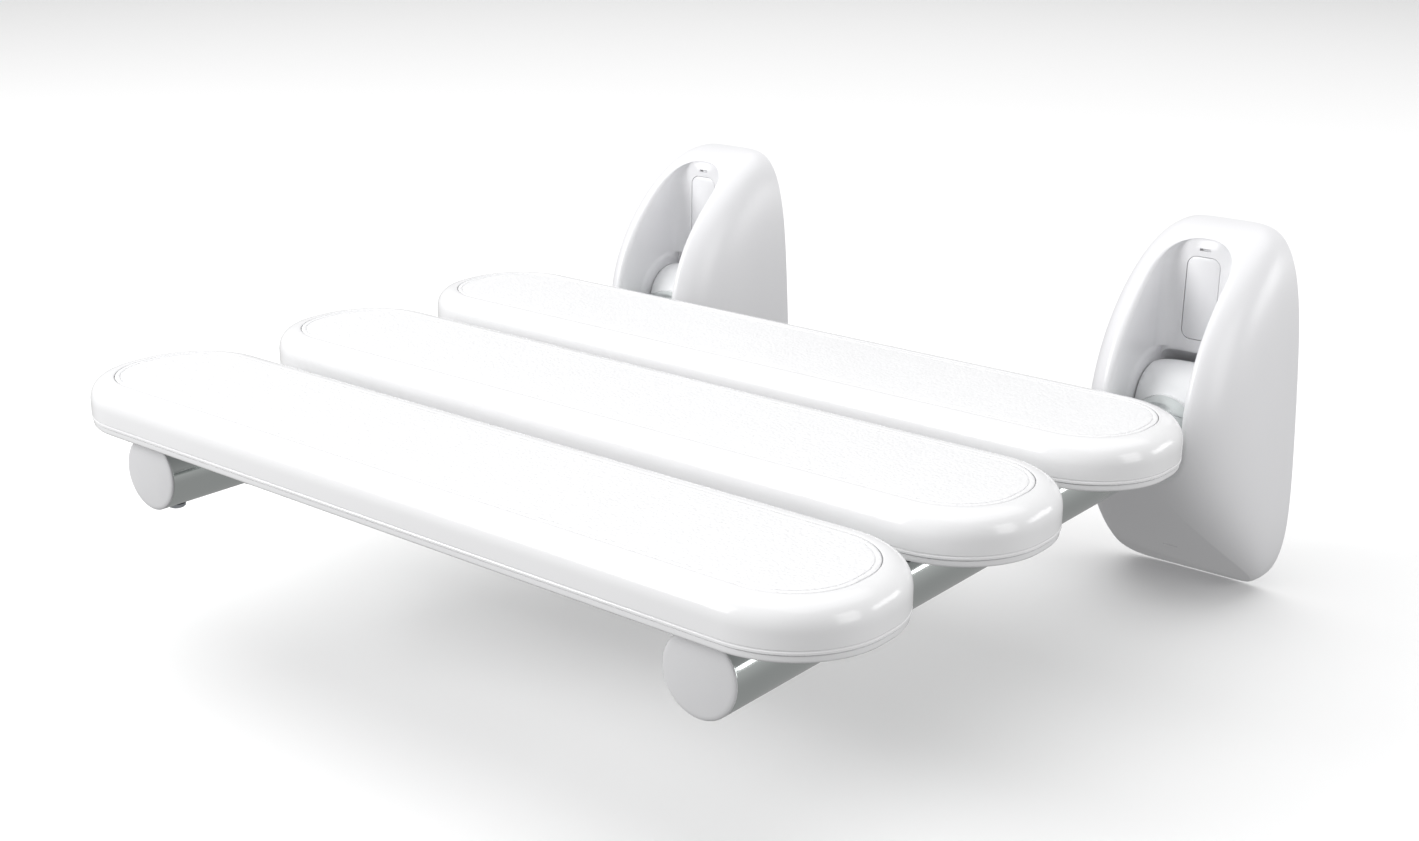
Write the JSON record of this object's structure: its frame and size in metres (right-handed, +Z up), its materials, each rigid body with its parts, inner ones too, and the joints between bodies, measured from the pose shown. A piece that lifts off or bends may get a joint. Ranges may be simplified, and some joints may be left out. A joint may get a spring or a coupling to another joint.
{
  "type": "fold-up wall-mounted shower seat",
  "caption": "Slatted white shower seat on tubular steel arms that folds up against the wall, hinged inside domed wall covers with an upright recess.",
  "frame": {"origin": "on the wall plane, midway between the two wall covers, at the height of the arm tubes' axes with the seat down", "axes": "+Z up, +Y into the wall, so the seat reaches towards -Y, and +X to the right of a person who faces the wall"},
  "size_m": [0.45, 0.452, 0.199],
  "materials": {
    "gloss_white": "gloss moulded plastic",
    "grained_white": "fine leather grain",
    "satin_white": "satin moulded plastic",
    "matt_grey": "matt moulded plastic",
    "polished_steel": "polished stainless steel",
    "plated_steel": "zinc-plated steel",
    "painted_casting": "die casting, powder coated in light grey",
    "black_rubber": "matt rubber",
    "natural_nylon": "natural nylon"
  },
  "bodies": {
    "wall_side": {"wall_bracket_left": "plated_steel", "hinge_pin_left": "polished_steel", "retaining_ring_left": "plated_steel", "wall_cover_left": "satin_white", "screw_lid_left": "satin_white", "cover_screw_left": "plated_steel", "wall_bracket_right": "plated_steel", "hinge_pin_right": "polished_steel", "retaining_ring_right": "plated_steel", "wall_cover_right": "satin_white", "screw_lid_right": "satin_white", "cover_screw_right": "plated_steel"},
    "seat": {"front_slat_shell": "gloss_white", "front_slat_base": "gloss_white", "front_slat_inlay": "grained_white", "front_saddle_pad_left": "black_rubber", "front_slat_screw_left_a": "plated_steel", "front_slat_screw_left_b": "plated_steel", "front_saddle_pad_right": "black_rubber", "front_slat_screw_right_a": "plated_steel", "front_slat_screw_right_b": "plated_steel", "middle_slat_shell": "gloss_white", "middle_slat_base": "gloss_white", "middle_slat_inlay": "grained_white", "middle_saddle_pad_left": "black_rubber", "middle_slat_screw_left_a": "plated_steel", "middle_slat_screw_left_b": "plated_steel", "middle_saddle_pad_right": "black_rubber", "middle_slat_screw_right_a": "plated_steel", "middle_slat_screw_right_b": "plated_steel", "rear_slat_shell": "gloss_white", "rear_slat_base": "gloss_white", "rear_slat_inlay": "grained_white", "rear_saddle_pad_left": "black_rubber", "rear_slat_screw_left_a": "plated_steel", "rear_slat_screw_left_b": "plated_steel", "rear_saddle_pad_right": "black_rubber", "rear_slat_screw_right_a": "plated_steel", "rear_slat_screw_right_b": "plated_steel", "arm_tube_left": "polished_steel", "arm_knuckle_left": "painted_casting", "end_cap_left": "matt_grey", "grub_screw_left": "plated_steel", "hinge_bush_left_a": "natural_nylon", "hinge_bush_left_b": "natural_nylon", "arm_tube_right": "polished_steel", "arm_knuckle_right": "painted_casting", "end_cap_right": "matt_grey", "grub_screw_right": "plated_steel", "hinge_bush_right_a": "natural_nylon", "hinge_bush_right_b": "natural_nylon"}
  },
  "joints": [
    {"name": "fold", "type": "hinge", "parent": "wall_side", "child": "seat", "pos_m": [0, -0.04, 0.008], "axis": [-1, 0, 0], "range_deg": [0, 90]}
  ]
}
